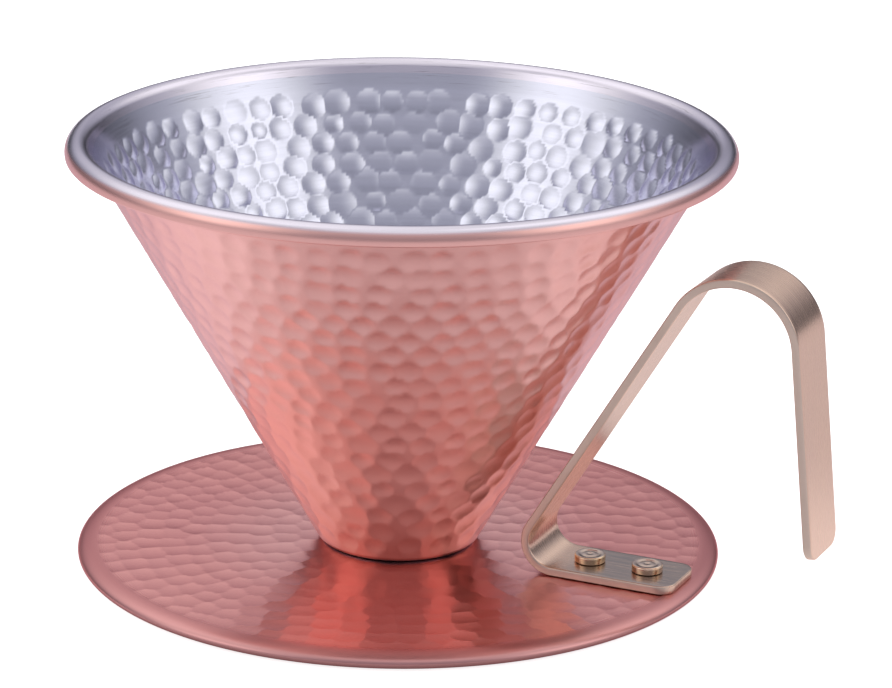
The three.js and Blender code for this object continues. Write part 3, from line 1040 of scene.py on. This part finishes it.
def rivet_material():
    material, n = new_material("rivet_brass")
    grain = n.noise(n.place(), 900.0, 3.0)
    patches = n.noise(n.place(), 300.0, 2.0)
    colour = n.mix(n.smooth(patches, PATCH_LOW, HIGH), RIVET_BRASS, RIVET_PATCH)
    # The tops are darker than the sides.
    colour = n.mix(n.smooth(n.facing()[2], 0.7, 0.98, 0.0, 0.85), colour, RIVET_TOP_DARK)
    rough = n.math("ADD", RIVET_ROUGH, n.linear(grain, LOW, HIGH, -0.04, 0.06))
    bump = n.add("ShaderNodeBump", {"Strength": 0.25, "Distance": RIVET_BUMP, "Height": grain})
    metal(n, colour, BRASS_EDGE, rough, 0.0, bump.outputs[0])
    return material


cone.data.materials.append(cone_material())
plate.data.materials.clear()
plate.data.materials.append(plate_material())
strip.data.materials.clear()
strip.data.materials.append(strip_material())
rivet_metal = rivet_material()
for obj in rivets:
    obj.data.materials.append(rivet_metal)

PIECES = (
    (cone, "dripper_cone", "hammered_copper_cone"),
    (plate, "base_plate", "hammered_copper_plate"),
    (strip, "handle_strip", "satin_brass"),
    (rivets[0], "rivet_inner", "rivet_brass"),
    (rivets[1], "rivet_outer", "rivet_brass"),
)
for obj, node, slot in PIECES:
    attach(obj, "root")
    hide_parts(node)


# ---------------------------------------------------------------- floor, light and camera

# The camera: millimetres from the cone's axis on the floor, angles in radians, lens in millimetres.
CAMERA_FROM_AXIS = Vector((280.979, -597.470, 253.114))
CAMERA_HEADING = 1.99826
CAMERA_PITCH = 0.31413
CAMERA_ROLL = 0.0136
CAMERA_LENS = 160.0
SENSOR_WIDTH = 36
CLIP_START = 0.01
CLIP_END = 50
TO_CAMERA = CAMERA_HEADING + math.pi

WHITE = (1, 1, 1, 1)
SHADE_TINT = (0.92, 0.93, 1.07, 1)
WINDOW_LIGHT = 1.4
CEILING_LIGHT = 0.95

# The floor. All but the last glow are what reflections see, and the distances are metres.
FLOOR_DARK = (0.90, 0.90, 0.90, 1)
FLOOR_PALE = (0.93, 0.93, 0.93, 1)
# Painted copper bounce light: reflections see the floor tinted pink.
FLOOR_BOUNCE_TINT = (1.0, 0.92, 0.97)
# Painted contact shadow: how dark reflections see the floor next to the plate.
FLOOR_CONTACT_SHADOW = 0.55
FLOOR_TONE = 0.76
FLOOR_FILL = 0.15
# Painted light: reflections see the floor glow towards the camera's left and right.
FLOOR_PAINTED_SIDE_LIGHT = 0.36
SIDE_LIGHT_FULL = 0.1
SIDE_LIGHT_END = 0.17
FLOOR_SEEN_GLOW = 0.8
FLOOR_RADIUS = 4.0
FLOOR_RINGS = 4
FLOOR_SEGMENTS = 64

forward = Vector((
    math.cos(CAMERA_HEADING) * math.cos(CAMERA_PITCH),
    math.sin(CAMERA_HEADING) * math.cos(CAMERA_PITCH),
    -math.sin(CAMERA_PITCH),
))
right = forward.cross(Vector((0, 0, 1))).normalized()
up = right.cross(forward)


def window(n, value, low, high, soft):
    """1 between two angles in degrees, falling to 0 over soft degrees either side of each."""
    rise = n.ease(value, low - soft, low + soft)
    fall = n.ease(value, high - soft, high + soft, 1.0, 0.0)
    return n.times(rise, fall)


def studio_light():
    """A white room with two soft windows at the camera's left and right, darker towards the camera."""
    world = bpy.data.worlds.new("studio")
    bpy.context.scene.world = world
    world.use_nodes = True
    n = Nodes(world.node_tree)
    way = n.add("ShaderNodeTexCoord").outputs["Generated"]
    turned = n.add("ShaderNodeVectorRotate", {"Vector": way, "Angle": -TO_CAMERA}, rotation_type="Z_AXIS")
    split = n.split(turned.outputs[0])
    elevation = n.math("ARCSINE", split[2])
    side = n.math("ABSOLUTE", n.math("ARCTAN2", split[1], split[0]))
    # The wall behind is dark at the table, a little darker on the right, and bright high up.
    low_back = n.ease(elevation, 5, 20, 0.06, 0.56)
    low_back = n.times(low_back, n.linear(split[1], -0.1, 0.1, 1.15, 0.82))
    back = n.math("ADD", low_back, n.ease(elevation, 20, 45, 0.0, 0.45))
    flank = n.ease(elevation, 4, 48, 0.11, 1.25)
    # The camera's side stays dim to well above it.
    low_front = n.linear(elevation, 0.0, math.radians(40), 0.26, 0.48)
    front = n.math("ADD", low_front, n.ease(elevation, 45, 75, 0.0, 0.38))
    wall = n.blend(n.ease(side, 140, 165), flank, back)
    light = n.blend(n.ease(side, 75, 125), front, wall)
    windows = n.times(window(n, side, 47, 92, 20), window(n, elevation, 12, 50, 12))
    light = n.blend(windows, light, WINDOW_LIGHT)
    light = n.blend(n.ease(elevation, 68, 86), light, CEILING_LIGHT)
    tint = n.mix(n.smooth(light, 0.3, 1.0), SHADE_TINT, WHITE)
    studio = n.add("ShaderNodeBackground", {"Color": tint, "Strength": light})
    white = n.add("ShaderNodeBackground", {"Color": WHITE, "Strength": 1.0})
    mixed = n.add("ShaderNodeMixShader", {0: n.seen(), 1: studio.outputs[0], 2: white.outputs[0]})
    n.add("ShaderNodeOutputWorld", {"Surface": mixed.outputs[0]})


def floor_material():
    """Pale matt paper. From below it can be seen through, so that the underside can be looked at.
    Reflections see painted light on it towards the sides, a painted copper bounce tint, and a painted
    contact shadow next to the plate."""
    material, n = new_material("pale_floor")
    place = n.place()
    from_axis = n.vector("SUBTRACT", place, (AXIS_X * MM, 0, 0))
    distance = n.vector("LENGTH", from_axis)
    sideways = n.math("DIVIDE", n.vector("DOT_PRODUCT", from_axis, tuple(right)), distance)
    seen = n.seen()
    unseen = n.math("SUBTRACT", 1.0, seen)
    near = (PLATE_RADIUS - 1) * MM
    far = (PLATE_RADIUS + 10) * MM
    # Painted contact shadow on the floor next to the plate, for reflections.
    contact_shadow = n.smooth(distance, near, far, FLOOR_CONTACT_SHADOW, 1.0)
    tone = n.mix(n.noise(place, 400.0, 2.0), FLOOR_DARK, FLOOR_PALE)
    # Painted copper bounce light tints the floor that reflections see.
    bounce_tinted = n.vector("MULTIPLY", tone, FLOOR_BOUNCE_TINT)
    dimmed = {0: bounce_tinted, "Scale": n.times(contact_shadow, FLOOR_TONE)}
    shaded = n.add("ShaderNodeVectorMath", dimmed, operation="SCALE").outputs[0]
    matt = n.add("ShaderNodeBsdfDiffuse", {"Color": n.mix(seen, shaded, tone)})
    # Painted light: a glow on the floor towards the sides, which only reflections see.
    glow = n.times(n.math("POWER", n.math("ABSOLUTE", sideways), 4.0), FLOOR_PAINTED_SIDE_LIGHT)
    glow = n.times(glow, n.smooth(distance, SIDE_LIGHT_FULL, SIDE_LIGHT_END, 1.0, 0.0))
    glow = n.times(n.math("ADD", n.times(glow, contact_shadow), FLOOR_FILL), unseen)
    glow = n.math("ADD", glow, n.times(seen, FLOOR_SEEN_GLOW))
    light = n.add("ShaderNodeEmission", {"Color": WHITE, "Strength": glow})
    paper = n.add("ShaderNodeAddShader", {0: matt.outputs[0], 1: light.outputs[0]})
    clear = n.add("ShaderNodeBsdfTransparent")
    below = n.add("ShaderNodeNewGeometry").outputs["Backfacing"]
    mixed = n.add("ShaderNodeMixShader", {0: below, 1: paper.outputs[0], 2: clear.outputs[0]})
    n.add("ShaderNodeOutputMaterial", {"Surface": mixed.outputs[0]})
    return material


def round_floor(radius, rings, segments):
    """A flat disc of rings, in metres."""
    verts = [(0.0, 0.0, 0.0)]
    faces = []
    for i in range(1, rings + 1):
        for j in range(segments):
            a = 2 * math.pi * j / segments
            verts.append((radius * i / rings * math.cos(a), radius * i / rings * math.sin(a), 0.0))
    for j in range(segments):
        faces.append((0, 1 + j, 1 + (j + 1) % segments))
    for i in range(rings - 1):
        for j in range(segments):
            k = (j + 1) % segments
            a = 1 + i * segments
            b = a + segments
            faces.append((a + j, b + j, b + k, a + k))
    return make_object("floor", verts, faces)


floor = round_floor(FLOOR_RADIUS, FLOOR_RINGS, FLOOR_SEGMENTS)
floor.data.materials.append(floor_material())
studio_light()

camera_data = bpy.data.cameras.new("camera")
camera = bpy.data.objects.new("camera", camera_data)
bpy.context.scene.collection.objects.link(camera)
bpy.context.scene.camera = camera
right_rolled = right * math.cos(CAMERA_ROLL) + up * math.sin(CAMERA_ROLL)
up_rolled = up * math.cos(CAMERA_ROLL) - right * math.sin(CAMERA_ROLL)
place = Vector((CAMERA_FROM_AXIS.x + AXIS_X, CAMERA_FROM_AXIS.y, CAMERA_FROM_AXIS.z)) * MM
axes = Matrix((right_rolled, up_rolled, -forward)).transposed()
camera.matrix_world = Matrix.Translation(place) @ axes.to_4x4()
camera_data.lens = CAMERA_LENS
camera_data.sensor_width = SENSOR_WIDTH
camera_data.clip_start = CLIP_START
camera_data.clip_end = CLIP_END
bpy.context.scene.view_settings.view_transform = "Standard"
